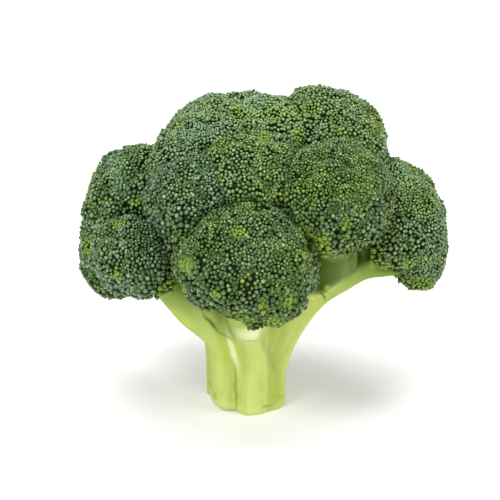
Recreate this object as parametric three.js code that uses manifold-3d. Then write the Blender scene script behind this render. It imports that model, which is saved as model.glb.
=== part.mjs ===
// A head of broccoli standing on its cut stalk: one pale stalk that divides into branches,
// and the dark green florets that the branches carry.
// Millimetres, +Z up. The origin is the middle of the cut end, on the surface that the head
// stands on. +X is to the right and -Y to the front.
import * as THREE from "three";
import { ConvexHull } from "three/addons/math/ConvexHull.js";
import { mergeVertices } from "three/addons/utils/BufferGeometryUtils.js";
import Module from "manifold-3d";

const wasm = await Module();
wasm.setup();

// Driving dimensions of the whole head.
const HUB_HEIGHT = 32; // the height on the stalk's axis that every floret faces away from
const FLORET_GAP = 0.4; // air between two florets that press on each other
const SOCKET_GAP = 0.35; // air between a branch and the floret that sits on it
const CREASE = 4.5; // how widely a floret's edge is rounded where it meets its neighbour
const GRAZING = 0.02; // a direction that faces a wall by less than this cosine never reaches it
const WELD_DISTANCE = 1e-4; // corners of triangles closer than this are one
const CUT_BOX = [100, 100, 50]; // what is cut away below the stalk: across, deep and tall

// Each floret is a lobed dome about a centre. centre and radius are in mm. stretch scales the
// radius across, up the head and outwards. bulges are places where the dome is fuller or flatter:
// a direction from the centre, the height in mm and the width in radians. fork is where the
// floret's branch divides, if that isn't straight below its centre.
const FLORETS = {
  floret_front: {
    centre: [1, -48.5, 80.5],
    radius: 27,
    stretch: [1.02, 0.86, 0.95],
    bulges: [
      [[0.45, -0.3, -0.85], 2.5, 0.5],
      [[-0.5, -0.2, -0.85], -4, 0.5],
      [[0.93, -0.2, 0.3], -2.5, 0.3],
    ],
  },
  floret_front_left_low: {
    centre: [-45, -24, 74],
    radius: 19,
    stretch: [1.08, 0.8, 0.95],
    fork: [-33, -17.5, 59.5],
    bulges: [[[0.25, -0.3, -0.93], -3.5, 0.5]],
  },
  floret_left: {
    centre: [-43, 4, 92],
    radius: 23.5,
    stretch: [1, 1.02, 0.95],
    bulges: [
      [[-0.97, -0.2, -0.2], 3, 0.3],
      [[-0.88, -0.2, 0.45], -2, 0.3],
      [[-0.5, -0.1, 0.86], 1.5, 0.3],
    ],
  },
  floret_left_low: {
    centre: [-50, 19, 68],
    radius: 23,
    stretch: [1, 0.95, 0.95],
    bulges: [[[-0.6, -0.25, -0.75], 4, 0.5]],
  },
  floret_front_left: { centre: [-19.5, -34, 100.5], radius: 18.5, stretch: [1.12, 0.92, 0.95] },
  floret_middle: { centre: [3, -26, 103], radius: 25, stretch: [1.05, 1, 0.95] },
  floret_front_right: {
    centre: [35, -32.5, 102],
    radius: 24.5,
    stretch: [1.05, 0.88, 0.95],
    fork: [34, -21, 81],
    bulges: [
      [[-0.55, -0.62, -0.56], -4.5, 0.34],
      [[-0.86, -0.5, -0.15], 2, 0.3],
    ],
  },
  floret_right: {
    centre: [61, 3, 83],
    radius: 24.5,
    stretch: [1, 1.16, 0.95],
    fork: [55, 2, 66],
    bulges: [
      [[0.45, -0.1, -0.88], 8, 0.4],
      [[-0.14, -0.25, -0.95], -12, 0.48],
    ],
  },
  floret_top_right: { centre: [33.5, 7.5, 113.5], radius: 26, stretch: [1, 1, 0.95] },
  floret_top_left: { centre: [-15, -8, 106.5], radius: 25.5, stretch: [1, 1, 0.95] },
  floret_top_back_left: { centre: [-7.5, 20, 108.5], radius: 25.5, stretch: [1.06, 1, 0.95] },
  floret_top: { centre: [9, 2, 110], radius: 26.5, stretch: [1, 1, 0.95] },
  floret_top_back: { centre: [14, 30.5, 103.5], radius: 26.5, stretch: [1, 1, 0.95] },
  floret_back_left: { centre: [-29, 41.5, 80], radius: 27.5, stretch: [1, 1, 0.95] },
  floret_back: { centre: [6, 48, 78], radius: 28, stretch: [1.05, 1, 0.95] },
  floret_back_right: { centre: [39.5, 34.5, 80], radius: 27, stretch: [1, 1, 0.95] },
};

// Pairs of florets that run into each other. Towards the wall between them both domes swell and
// keep a sharper edge, so that only a shallow crease parts them.
const SOFT_PAIRS = [
  ["floret_front_left", "floret_middle"],
  ["floret_middle", "floret_top"],
  ["floret_top_left", "floret_middle"],
  ["floret_top_left", "floret_top"],
  ["floret_top_left", "floret_top_back_left"],
  ["floret_top_back_left", "floret_top"],
  ["floret_top", "floret_top_back"],
  ["floret_back", "floret_back_right"],
];
const SOFT_RISE = 2.5; // how much the domes swell at the wall
const SOFT_REACH = 7; // the distance from the wall over which the swelling fades
const SOFT_CREASE = 1.5; // takes the place of CREASE

// The dome of a floret.
const UNDERSIDE = 0.92; // the stretch below the middle of the dome
const RIM_ANGLES = [118, 168]; // degrees from the floret's axis between which its underside turns in
const UNDERSIDE_DEPTH = 0.62; // how far it turns in, as a share of the radius
const LOBE_COUNT = 15;
const LOBE_WIDTH = 0.62; // radians
const LOBE_HEIGHT = 3;
const LOBE_SHARPNESS = 5;
const LOBE_TURN = 1.7; // turns the pattern of lobes from one floret to the next, in radians

// The buds, which are larger than life here: ridged points over every surface that the light reaches.
const BUD_PITCH = 6.9;
const BUD_TIP = 1.1; // above the dome
const BUD_VALLEY = 0.8; // below the dome
const BUD_LIMIT_ANGLE = 122; // degrees from the axis
const TIPS_ON_UNIT_BALL = 14.5; // how many tips cover a ball of radius 1 at a pitch of 1
const BUD_CLEARANCE = 1.5; // the least distance from a bud's tip to the neighbouring floret's cell wall
const PLAIN_COUNT = 56; // directions over the parts without buds, before thinning
const PLAIN_SPACING = 0.3; // radians

// Every branch is a round taper along a smooth line: x, y, z and the radius there, all in mm.
// It ends inside the floret that it is named for. A branch whose line starts below the cut end
// is a rib, and the ribs side by side make the fluted stalk.
const BRANCHES = {
  floret_right: [
    [9.2, -4.5, -6, 8.3],
    [9.4, -4.5, 12, 8.3],
    [10.6, -4.5, 22, 8.4],
    [15.6, -4, 36, 9],
    [28, -3, 52.5, 8.6],
    [43, -1, 60.3, 7.2],
  ],
  floret_front: [
    [1.8, -9.8, -6, 8.4],
    [1.8, -9.8, 24, 8.4],
    [1, -15, 40, 8.5],
    [0, -25, 54, 8],
  ],
  floret_front_left_low: [
    [-6.5, -7, -6, 8.6],
    [-7, -7, 22, 8.6],
    [-9.4, -9, 35, 8.5],
    [-22.2, -13.5, 48.5, 8.4],
  ],
  floret_left_low: [
    [-9.3, 1.5, -6, 8.2],
    [-9.5, 2, 24, 8.2],
    [-14, 6, 39, 8.2],
    [-25, 10, 50, 7.6],
  ],
  floret_back_left: [
    [-5, 8, -6, 8.2],
    [-5, 8.5, 22, 8.2],
    [-9, 16, 42, 8],
  ],
  floret_back: [
    [2, 9.3, -6, 8.2],
    [2, 9.5, 22, 8.2],
    [3, 17, 42, 8],
  ],
  floret_back_right: [
    [7.7, 5, -6, 8.2],
    [8, 5.5, 22, 8.2],
    [14, 13, 42, 8],
  ],
  floret_front_right: [
    [22, -3.5, 49, 8],
    [35, -6, 63, 7.8],
    [38, -13, 73, 6.6],
  ],
  floret_left: [
    [-10, 3, 34, 8],
    [-20, 4, 60, 7],
  ],
  floret_front_left: [
    [-3, -3, 46, 8],
    [-11, -17, 78, 6.5],
  ],
  floret_middle: [
    [1, -4, 46, 8],
    [2, -13, 80, 6.5],
  ],
  floret_top_right: [
    [5, 2, 46, 8],
    [18, 6, 82, 7],
  ],
  floret_top_left: [
    [-3, -1, 48, 8],
    [-10, -5, 82, 6.5],
  ],
  floret_top_back_left: [
    [-2, 4, 48, 8],
    [-7, 12, 82, 6.5],
  ],
  floret_top: [
    [2, 1, 48, 8],
    [5, 3, 84, 6.5],
  ],
  floret_top_back: [
    [3, 5, 48, 8],
    [9, 18, 80, 6.5],
  ],
};
// A small stem that runs on from the right branch under its floret.
const SIDE_STEM = [
  [46, -1, 61.5, 5.2],
  [57, -5, 62.6, 3.2],
  [66, -8, 62.6, 1.6],
];
const CORE = [
  [0, 0, -6, 13],
  [0, 0, 32, 13],
  [0, 0, 54, 12],
  [0, 0, 64, 8],
];
const FORK_DEPTH = 0.98; // of a branch's fork below the floret's centre, as a share of its radius
const FORK_RADIUS = 5.6;
const BRANCH_END_DEPTH = 0.2; // the same measure for the branch's end, inside the floret
const BRANCH_END_RADIUS = 4.2;
const RIB_SIDES = 10; // round a branch that starts at the cut end
const INNER_SIDES = 8; // round one that starts inside the stalk
const BRANCH_STEPS = 2; // between two points of the line

// The small stems that fan out of a fork into the underside of an outer floret.
const STEMLET_COUNT = 5;
const STEMLET_SIDES = 5;
const STEMLET_RADII = [3.4, 2.9, 2.4];
const STEMLET_BEND = [0.32, 0.62]; // outwards and below the floret's centre, shares of its radius
const STEMLET_END = [0.56, 0.3];
const FANNED_BELOW = 102.5; // a floret whose centre is lower shows its underside, and has stemlets

const STALK_COLOUR = 0xc4d26c;
const BUD_COLOUR = 0x4c6436;

function fibonacciSphere(count, turn = 0) {
  const golden = Math.PI * (3 - Math.sqrt(5));
  return Array.from({ length: count }, (_, i) => {
    const z = 1 - (2 * (i + 0.5)) / count;
    const across = Math.sqrt(1 - z * z);
    const angle = (i + 0.5) * golden + turn;
    return new THREE.Vector3(across * Math.cos(angle), across * Math.sin(angle), z);
  });
}

function smoothStep(from, to, x) {
  return THREE.MathUtils.smoothstep(x, from, to);
}

// The lower of two values, rounded over where they are within `width` of each other.
function smoothMin(a, b, width) {
  const h = Math.max(width - Math.abs(a - b), 0) / width;
  return Math.min(a, b) - (h * h * width) / 4;
}

// A floret's own axes: across the head, up the head and outwards from the hub.
function floretAxes(centre) {
  const out = centre.clone().sub(new THREE.Vector3(0, 0, HUB_HEIGHT)).normalize();
  const across = new THREE.Vector3(0, 0, 1).cross(out);
  across.addScaledVector(out, -across.dot(out)).normalize();
  return { across, up: out.clone().cross(across), out };
}

const florets = Object.entries(FLORETS).map(([name, f], index) => {
  const centre = new THREE.Vector3(...f.centre);
  const bulges = (f.bulges ?? []).map(([way, height, width]) => ({
    way: new THREE.Vector3(...way).normalize(),
    height,
    width,
  }));
  return {
    ...f,
    name,
    centre,
    bulges,
    axes: floretAxes(centre),
    lobes: fibonacciSphere(LOBE_COUNT, LOBE_TURN * index),
  };
});

// The distance from a floret's centre to its dome in the direction `way`: a stretched ball with
// soft lobes and bulges, turned in below its rim.
function domeRadius(floret, way) {
  const { across, up, out } = floret.axes;
  const local = new THREE.Vector3(way.dot(across), way.dot(up), way.dot(out));
  const [sa, su, so] = floret.stretch;
  const below = local.z > 0 ? so : UNDERSIDE;
  let r = floret.radius / Math.hypot(local.x / sa, local.y / su, local.z / below);
  const polar = THREE.MathUtils.radToDeg(Math.acos(THREE.MathUtils.clamp(local.z, -1, 1)));
  const near = floret.lobes.reduce((sum, lobe) => {
    const angle = Math.acos(THREE.MathUtils.clamp(local.dot(lobe), -1, 1)) / LOBE_WIDTH;
    return sum + Math.exp(-LOBE_SHARPNESS * angle * angle);
  }, 0);
  const lobed = 0.5 + Math.log(near) / LOBE_SHARPNESS;
  r += LOBE_HEIGHT * lobed * (1 - smoothStep(RIM_ANGLES[0], RIM_ANGLES[1], polar));
  for (const { way: towards, height, width } of floret.bulges) {
    const angle = Math.acos(THREE.MathUtils.clamp(way.dot(towards), -1, 1)) / width;
    r += height * Math.exp(-angle * angle);
  }
  return r * (1 - UNDERSIDE_DEPTH * smoothStep(RIM_ANGLES[0], RIM_ANGLES[1], polar));
}

// The flat walls half way to a floret's neighbours: each one's direction, its distance from the
// floret's centre and whether the pair is soft.
function wallsOf(floret) {
  return florets
    .filter((other) => other !== floret)
    .map((other) => {
      const between = other.centre.clone().sub(floret.centre);
      const apart = between.length();
      const square = apart * apart + floret.radius ** 2 - other.radius ** 2;
      return {
        way: between.divideScalar(apart),
        distance: square / (2 * apart) - FLORET_GAP / 2,
        soft: SOFT_PAIRS.some((pair) => pair.includes(floret.name) && pair.includes(other.name)),
      };
    });
}
for (const floret of florets) floret.walls = wallsOf(floret);

// The dome, raised by SOFT_RISE where it meets a soft wall and less and less within SOFT_REACH
// of it.
function swollenRadius(floret, way) {
  const r = domeRadius(floret, way);
  const swells = floret.walls
    .filter((wall) => wall.soft)
    .map((wall) => {
      const short = Math.max(wall.distance - r * way.dot(wall.way), 0) / SOFT_REACH;
      return SOFT_RISE * Math.exp(-short * short);
    });
  return r + Math.max(0, ...swells);
}

// The walls that lie in the direction `way`: how far each one is, and how widely its edge is
// rounded.
function wallsAhead(floret, way) {
  return floret.walls
    .map(({ way: towards, distance, soft }) => ({ facing: way.dot(towards), distance, soft }))
    .filter(({ facing }) => facing > GRAZING)
    .map(({ facing, distance, soft }) => ({
      reach: distance / facing,
      crease: soft ? SOFT_CREASE : CREASE,
    }));
}

function surfaceRadius(floret, way, relief) {
  const dome = swollenRadius(floret, way) + relief;
  return wallsAhead(floret, way).reduce((r, { reach, crease }) => smoothMin(r, reach, crease), dome);
}

// Where light reaches a floret: above its rim and clear of the walls to its neighbours.
function isOpen(floret, way) {
  const polar = THREE.MathUtils.radToDeg(Math.acos(way.dot(floret.axes.out)));
  const wall = Math.min(...wallsAhead(floret, way).map(({ reach }) => reach), Infinity);
  return polar < BUD_LIMIT_ANGLE && swollenRadius(floret, way) + BUD_CLEARANCE < wall;
}

// The directions of a floret's vertices: a bud's tip each where it is open, and fewer plain ones
// elsewhere.
function floretDirections(floret) {
  const count = Math.round(TIPS_ON_UNIT_BALL / (BUD_PITCH / floret.radius) ** 2);
  const tips = fibonacciSphere(count, floret.centre.x).filter((way) => isOpen(floret, way));
  const plain = fibonacciSphere(PLAIN_COUNT).filter((way) =>
    tips.every((tip) => tip.angleTo(way) > PLAIN_SPACING),
  );
  return { tips, plain };
}

// Joins directions into a net of triangles, as the hull of the points that they mark on a ball.
// Gives each triangle's three indices, counter-clockwise from outside.
function netOf(ways) {
  const hull = new ConvexHull().setFromPoints(ways);
  const indexOf = new Map(ways.map((way, i) => [way, i]));
  return hull.faces.map((face) => {
    const corners = [];
    let edge = face.edge;
    do {
      corners.push(indexOf.get(edge.head().point));
      edge = edge.next;
    } while (edge !== face.edge);
    return corners;
  });
}

// A floret's closed surface. Every triangle of the net with a bud's tip at a corner gets a valley
// point in its middle, and the edge between two such triangles is turned to join their valleys,
// so that each bud stands up alone.
function floretGeometry(floret) {
  const { tips, plain } = floretDirections(floret);
  const ways = [...tips, ...plain];
  const net = netOf(ways);
  const hasTip = (corners) => corners.some((i) => i < tips.length);
  const valleyOf = net.map((corners) => {
    if (!hasTip(corners)) return -1;
    const middle = new THREE.Vector3();
    corners.forEach((i) => middle.add(ways[i]));
    return ways.push(middle.normalize()) - 1;
  });
  const owner = new Map();
  net.forEach(([a, b, c], n) => {
    for (const [p, q] of [[a, b], [b, c], [c, a]]) owner.set(`${p},${q}`, n);
  });
  const triangles = [];
  net.forEach((corners, n) => {
    const valley = valleyOf[n];
    if (valley < 0) {
      triangles.push(...corners);
      return;
    }
    corners.forEach((from, k) => {
      const to = corners[(k + 1) % 3];
      const opposite = valleyOf[owner.get(`${to},${from}`)];
      if (opposite < 0) triangles.push(from, to, valley);
      else triangles.push(from, opposite, valley);
    });
  });
  const firstValley = tips.length + plain.length;
  const positions = ways.flatMap((way, i) => {
    const relief = i < tips.length ? BUD_TIP : i >= firstValley ? -BUD_VALLEY : 0;
    const point = way.clone().multiplyScalar(surfaceRadius(floret, way, relief));
    return point.add(floret.centre).toArray();
  });
  const geometry = new THREE.BufferGeometry();
  geometry.setAttribute("position", new THREE.Float32BufferAttribute(positions, 3));
  geometry.setIndex(triangles);
  return geometry;
}

// A round taper along a smooth line through `points`, closed by flat ends. `extra` makes it
// thicker all over.
function taperGeometry(points, sides, steps, extra) {
  const line = new THREE.CatmullRomCurve3(
    points.map(([x, y, z]) => new THREE.Vector3(x, y, z)),
    false,
    "catmullrom",
    0.5,
  );
  const spans = points.length - 1;
  const rings = spans * steps;
  const first = points[0];
  const last = points[spans];
  const across = new THREE.Vector3(first[1] - last[1], last[0] - first[0], 0);
  const sideways = across.length() > 1 ? across.normalize() : new THREE.Vector3(1, 0, 0);
  const positions = [];
  for (let ring = 0; ring <= rings; ring++) {
    const t = ring / rings;
    const span = Math.min(Math.floor(t * spans), spans - 1);
    const r = THREE.MathUtils.lerp(points[span][3], points[span + 1][3], t * spans - span) + extra;
    const middle = line.getPoint(t);
    const along = line.getTangent(t);
    const a = sideways.clone().addScaledVector(along, -sideways.dot(along)).normalize();
    const b = along.clone().cross(a);
    for (let side = 0; side < sides; side++) {
      const turn = (2 * Math.PI * side) / sides;
      const point = middle.clone();
      point.addScaledVector(a, r * Math.cos(turn)).addScaledVector(b, r * Math.sin(turn));
      positions.push(...point.toArray());
    }
  }
  const triangles = [];
  for (let ring = 0; ring < rings; ring++) {
    for (let side = 0; side < sides; side++) {
      const p = ring * sides + side;
      const q = ring * sides + ((side + 1) % sides);
      triangles.push(p, q, q + sides, p, q + sides, p + sides);
    }
  }
  for (let side = 1; side < sides - 1; side++) {
    const top = rings * sides;
    triangles.push(0, side + 1, side, top, top + side, top + side + 1);
  }
  const geometry = new THREE.BufferGeometry();
  geometry.setAttribute("position", new THREE.Float32BufferAttribute(positions, 3));
  geometry.setIndex(triangles);
  return geometry;
}

function toSolid(geometry) {
  const merged = mergeVertices(geometry, WELD_DISTANCE);
  return new wasm.Manifold(
    new wasm.Mesh({
      numProp: 3,
      vertProperties: new Float32Array(merged.attributes.position.array),
      triVerts: new Uint32Array(merged.index.array),
    }),
  );
}

function toGeometry(solid) {
  const mesh = solid.getMesh();
  const geometry = new THREE.BufferGeometry();
  geometry.setAttribute("position", new THREE.BufferAttribute(mesh.vertProperties, 3));
  geometry.setIndex(new THREE.BufferAttribute(mesh.triVerts, 1));
  geometry.computeVertexNormals();
  return geometry;
}

// A point under a floret: `outwards` from its axis, at the angle `turn` from `across`, and `below`
// its centre, both as shares of its radius.
function underPoint(floret, turn, outwards, below) {
  const { across, up, out } = floret.axes;
  return floret.centre
    .clone()
    .addScaledVector(across, floret.radius * outwards * Math.cos(turn))
    .addScaledVector(up, floret.radius * outwards * Math.sin(turn))
    .addScaledVector(out, -floret.radius * below);
}

// The lines of a floret's branch and of its stemlets.
function branchLines(floret) {
  const fork = floret.fork ?? underPoint(floret, 0, 0, FORK_DEPTH).toArray();
  const end = underPoint(floret, 0, 0, BRANCH_END_DEPTH).toArray();
  const branch = [...BRANCHES[floret.name], [...fork, FORK_RADIUS], [...end, BRANCH_END_RADIUS]];
  const stemlets = [];
  if (floret.centre.z < FANNED_BELOW) {
    for (let k = 0; k < STEMLET_COUNT; k++) {
      const turn = (2 * Math.PI * (k + 0.3)) / STEMLET_COUNT;
      const bend = underPoint(floret, turn, ...STEMLET_BEND).toArray();
      const tip = underPoint(floret, turn, ...STEMLET_END).toArray();
      stemlets.push([fork, bend, tip].map((p, i) => [...p, STEMLET_RADII[i]]));
    }
  }
  return { branch, stemlets };
}

// The largest of the closed surfaces that a solid consists of. It leaves out scraps, and fills
// what is sealed inside.
function largestPart(solid) {
  return solid.decompose().sort((a, b) => b.volume() - a.volume())[0];
}

// The whole stalk: the core, the ribs and branches, and the stemlets, joined and cut off square
// at the bottom.
function stalkSolid(extra) {
  const tapers = [
    taperGeometry(CORE, RIB_SIDES, 1, extra),
    taperGeometry(SIDE_STEM, INNER_SIDES, BRANCH_STEPS, extra),
  ];
  for (const floret of florets) {
    const { branch, stemlets } = branchLines(floret);
    const sides = branch[0][2] < 0 ? RIB_SIDES : INNER_SIDES;
    tapers.push(taperGeometry(branch, sides, BRANCH_STEPS, extra));
    for (const line of stemlets) tapers.push(taperGeometry(line, STEMLET_SIDES, 1, extra));
  }
  const joined = wasm.Manifold.union(tapers.map(toSolid));
  const below = new THREE.BoxGeometry(...CUT_BOX).translate(0, 0, -CUT_BOX[2] / 2);
  below.deleteAttribute("normal");
  below.deleteAttribute("uv");
  return largestPart(joined.subtract(toSolid(below)));
}

const stalkMaterial = new THREE.MeshStandardMaterial({
  color: STALK_COLOUR,
  roughness: 0.45,
  metalness: 0,
});
const budMaterial = new THREE.MeshStandardMaterial({
  color: BUD_COLOUR,
  roughness: 0.6,
  metalness: 0,
});

const broccoli = new THREE.Group();

const stalk = new THREE.Mesh(toGeometry(stalkSolid(0)), stalkMaterial);
stalk.name = "stalk";
broccoli.add(stalk);

const socket = stalkSolid(SOCKET_GAP);
for (const floret of florets) {
  const solid = largestPart(toSolid(floretGeometry(floret)).subtract(socket));
  const mesh = new THREE.Mesh(toGeometry(solid), budMaterial);
  mesh.name = floret.name;
  broccoli.add(mesh);
}

export default broccoli;
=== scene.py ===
"""A head of broccoli that stands on its cut stalk.

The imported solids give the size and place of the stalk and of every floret. This script works the
same florets and branches out again, more finely, and puts them in the solids' places: each floret
gets one to four thousand buds of its own, and the stalk its fluted skin, small stems and cut end.
Shapes are worked out in millimetres, +Z up, and shown() turns them into Blender's metres.
"""

import math

import bmesh
import bpy
import numpy as np
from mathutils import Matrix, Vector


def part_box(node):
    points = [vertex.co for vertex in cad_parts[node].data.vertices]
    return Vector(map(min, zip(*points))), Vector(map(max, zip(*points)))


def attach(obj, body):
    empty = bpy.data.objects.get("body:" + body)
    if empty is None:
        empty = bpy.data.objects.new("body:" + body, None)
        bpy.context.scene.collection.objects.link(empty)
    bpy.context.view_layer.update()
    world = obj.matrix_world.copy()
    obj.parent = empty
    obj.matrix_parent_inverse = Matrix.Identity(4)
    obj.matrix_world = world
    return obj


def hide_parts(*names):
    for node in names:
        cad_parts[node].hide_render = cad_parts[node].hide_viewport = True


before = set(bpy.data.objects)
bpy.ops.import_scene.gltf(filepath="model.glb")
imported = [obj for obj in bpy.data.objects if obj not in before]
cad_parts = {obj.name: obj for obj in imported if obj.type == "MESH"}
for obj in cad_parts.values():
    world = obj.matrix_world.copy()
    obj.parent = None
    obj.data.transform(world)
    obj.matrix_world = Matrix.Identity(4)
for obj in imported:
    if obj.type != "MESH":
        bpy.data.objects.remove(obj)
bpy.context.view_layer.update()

MM = 0.001
WAVES = 20  # in every noise
SEED = 7  # each use of chance adds a number of its own to it

# ---- Driving sizes, in millimetres ----

HUB_HEIGHT = 32.0  # on the stalk's axis, where every floret faces away from
FLORET_GAP = 0.4
CREASE = 4.5  # how widely a floret's edge is rounded where it meets its neighbour

# The middle and the radius of each floret, its stretch across, up the head and outwards, where
# its branch forks if that isn't straight below it, and its bulges: a direction, a height and a
# width in radians.
FLORETS = {
    "front": {
        "centre": (1, -48.5, 80.5),
        "radius": 27,
        "stretch": (1.02, 0.86, 0.95),
        "bulges": [
            ((0.45, -0.3, -0.85), 2.5, 0.5),
            ((-0.5, -0.2, -0.85), -4, 0.5),
            ((0.93, -0.2, 0.3), -2.5, 0.3),
        ],
    },
    "front_left_low": {
        "centre": (-45, -24, 74),
        "radius": 19,
        "stretch": (1.08, 0.8, 0.95),
        "fork": (-33, -17.5, 59.5),
        "bulges": [((0.25, -0.3, -0.93), -3.5, 0.5)],
    },
    "left": {
        "centre": (-43, 4, 92),
        "radius": 23.5,
        "stretch": (1, 1.02, 0.95),
        "bulges": [
            ((-0.97, -0.2, -0.2), 3, 0.3),
            ((-0.88, -0.2, 0.45), -2, 0.3),
            ((-0.5, -0.1, 0.86), 1.5, 0.3),
        ],
    },
    "left_low": {
        "centre": (-50, 19, 68),
        "radius": 23,
        "stretch": (1, 0.95, 0.95),
        "bulges": [((-0.6, -0.25, -0.75), 4, 0.5)],
    },
    "front_left": {"centre": (-19.5, -34, 100.5), "radius": 18.5, "stretch": (1.12, 0.92, 0.95)},
    "middle": {"centre": (3, -26, 103), "radius": 25, "stretch": (1.05, 1, 0.95)},
    "front_right": {
        "centre": (35, -32.5, 102),
        "radius": 24.5,
        "stretch": (1.05, 0.88, 0.95),
        "fork": (34, -21, 81),
        "bulges": [((-0.55, -0.62, -0.56), -4.5, 0.34), ((-0.86, -0.5, -0.15), 2, 0.3)],
    },
    "right": {
        "centre": (61, 3, 83),
        "radius": 24.5,
        "stretch": (1, 1.16, 0.95),
        "fork": (55, 2, 66),
        "bulges": [((0.45, -0.1, -0.88), 8, 0.4), ((-0.14, -0.25, -0.95), -12, 0.48)],
    },
    "top_right": {"centre": (33.5, 7.5, 113.5), "radius": 26, "stretch": (1, 1, 0.95)},
    "top_left": {"centre": (-15, -8, 106.5), "radius": 25.5, "stretch": (1, 1, 0.95)},
    "top_back_left": {"centre": (-7.5, 20, 108.5), "radius": 25.5, "stretch": (1.06, 1, 0.95)},
    "top": {"centre": (9, 2, 110), "radius": 26.5, "stretch": (1, 1, 0.95)},
    "top_back": {"centre": (14, 30.5, 103.5), "radius": 26.5, "stretch": (1, 1, 0.95)},
    "back_left": {"centre": (-29, 41.5, 80), "radius": 27.5, "stretch": (1, 1, 0.95)},
    "back": {"centre": (6, 48, 78), "radius": 28, "stretch": (1.05, 1, 0.95)},
    "back_right": {"centre": (39.5, 34.5, 80), "radius": 27, "stretch": (1, 1, 0.95)},
}

# Pairs of florets that run into each other. Towards the wall between them both domes swell and
# keep a sharper edge, so that only a shallow crease parts them.
SOFT_PAIRS = [
    {"front_left", "middle"},
    {"middle", "top"},
    {"top_left", "middle"},
    {"top_left", "top"},
    {"top_left", "top_back_left"},
    {"top_back_left", "top"},
    {"top", "top_back"},
    {"back", "back_right"},
]
SOFT_RISE = 2.5  # how much the domes swell at the wall
SOFT_REACH = 7  # the distance from the wall over which the swelling fades
SOFT_CREASE = 1.5  # takes the place of CREASE
SOFT_PASS = 1.0  # how far a bud may lean over a soft wall

# The dome of a floret. Widths of lobes and cushions are chords on a ball of radius 1. Each
# floret's pattern is turned by LOBE_TURN radians from the last one's, and the other turns set
# cushions and tufts apart from the lobes.
UNDERSIDE = 0.92  # the stretch below the middle
RIM_ANGLES = (118, 168)  # degrees from the floret's axis between which the underside turns in
UNDERSIDE_DEPTH = 0.62
GRAZING = 0.02  # a direction nearer than this to a wall's own plane never meets it
NORMAL_STEP = 0.03  # radians to each of the four points that a normal is worked out from
LOBE_COUNT, LOBE_WIDTH, LOBE_HEIGHT, LOBE_SHARPNESS = 15, 0.62, 3, 5
LOBE_TURN = 1.7
CUSHION_COUNT, CUSHION_WIDTH, CUSHION_HEIGHT, CUSHION_SHARPNESS = 46, 0.35, 1.3, 6
CUSHION_TURN, CUSHION_SCATTER = 0.8, 0.09
TUFT_PITCH, TUFT_WIDTH, TUFT_HEIGHT, TUFT_SHARPNESS = 6.2, 0.62, 1.3, 6  # width in pitches
TUFT_TURN, TUFT_SCATTER = 2.1, 0.3  # scatter in pitches
TIPS_ON_UNIT_BALL = 14.5  # how many tufts a pitch of 1 apart cover a ball of radius 1
RAGGED_HEIGHT, RAGGED_LENGTH = 0.8, 0.3  # of the waves round the rim
RAGGED_ANGLES = (78, 108)  # degrees from the floret's axis between which they grow

# How blue the bloom on a floret's buds is, where it isn't the usual.
USUAL_BLOOM = 0.4
BLOOM = {
    "front": 0.25,
    "front_left_low": 0.85,
    "front_left": 0.75,
    "left": 0.5,
    "front_right": 0.35,
    "right": 0.5,
    "top": 0.5,
    "top_left": 0.7,
    "top_back_left": 0.65,
    "top_back": 0.6,
}

# How light a floret's buds are painted, where they aren't the usual. This is painted light: the
# florets on top and at the right are lighter, where more light falls on them, and the front one is
# darker.
USUAL_PAINTED_LIGHT = 0.5
PAINTED_LIGHT = {
    "front": 0.42,
    "front_left_low": 0.56,
    "left": 0.64,
    "middle": 0.64,
    "top_right": 0.84,
    "top": 1.1,
    "top_left": 0.85,
    "top_back_left": 1.0,
    "top_back": 0.95,
    "right": 0.76,
}

# Where the buds are young and yellow-green: the middle of each patch and its radius.
YOUNG_PATCHES = [
    ((31, -53, 91), 4), ((28, -50, 86), 5), ((49, -8, 71), 6), ((37, -38, 80), 6.5),
    ((48, -26, 81), 6.5), ((24, -53, 95), 3.5), ((22, -58, 101), 3),
    ((-11, -69, 75), 2.6), ((17, -66, 70), 3), ((-52, -40, 73), 3), ((-67, 4, 69), 3.5),
    ((76, -7, 57), 5), ((7, -69, 70), 2.5), ((1, -63, 63), 4), ((68, -16, 70), 3),
    ((-23, -53, 73), 3.5), ((0, -74, 81), 2), ((-33, -37, 66), 4), ((-52, -27, 91), 3),
    ((-2, -67, 99), 3), ((39, -55, 98), 2.5), ((11, -63, 61), 4), ((-22, -61, 83), 3),
    ((22, -65, 88), 2), ((20, -16, 124), 4), ((58, -21, 85), 3), ((-45, -20, 98), 2.5),
    ((-9, -46, 113), 2.5), ((-3, -6, 131), 4.5), ((7, -27, 125), 4), ((-8, 40, 96), 5),
    ((52, 40, 70), 5), ((-50, 45, 66), 5), ((10, 72, 74), 4), ((86, 10, 74), 4),
]

# How close a floret's buds stand, where it isn't the usual 1.
CLOSENESS = {"right": 0.84, "front_right": 0.92, "top_right": 0.95, "top_left": 0.95}

# The buds.
BUD_PITCH = 1.7
BUD_SIZES = (0.78, 1.2)  # of single buds beside their neighbours
BUD_CROWDING = 1.02
BUD_CELL = 0.866  # the area that a bud has to itself at a pitch of 1
BUD_HOLE = 0.77  # pitches to the nearest bud from where one more is added
ADDED_BUD_SIZE = 0.85
BUD_WIDTH = 0.59  # half a bud's width, in pitches
BUD_PITCH_SHARES = (0.82, 1.26)  # where they are smallest and largest
BUD_ROOT = 1.0  # how far below the dome a bud starts
BUD_TIP = 0.7  # how far above it ends
BUD_LIMIT = 121  # degrees from the floret's axis
BUD_LIMIT_SPREAD = 6
BUD_SIDES = 6
BUD_RINGS = ((0.92, 0.0), (0.9, 0.68))  # half-width and height
BUD_LEAN = 0.17
SETTLE_ROUNDS = 12
SETTLE_REACH = 0.52  # how far two buds stand apart, in their two pitches together
SETTLE_PUSH, SETTLE_LIMIT = 0.28, 4  # the share of what is missing, and the most that counts
SAMPLES = 16000  # directions that a floret's area is measured by
STEEPEST = 0.25  # the least slant that an area is divided by
LEAST_ROOM = 0.4  # a bud with less stays away
WALL_FACING = 0.05  # how much a bud faces a wall that counts
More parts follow.
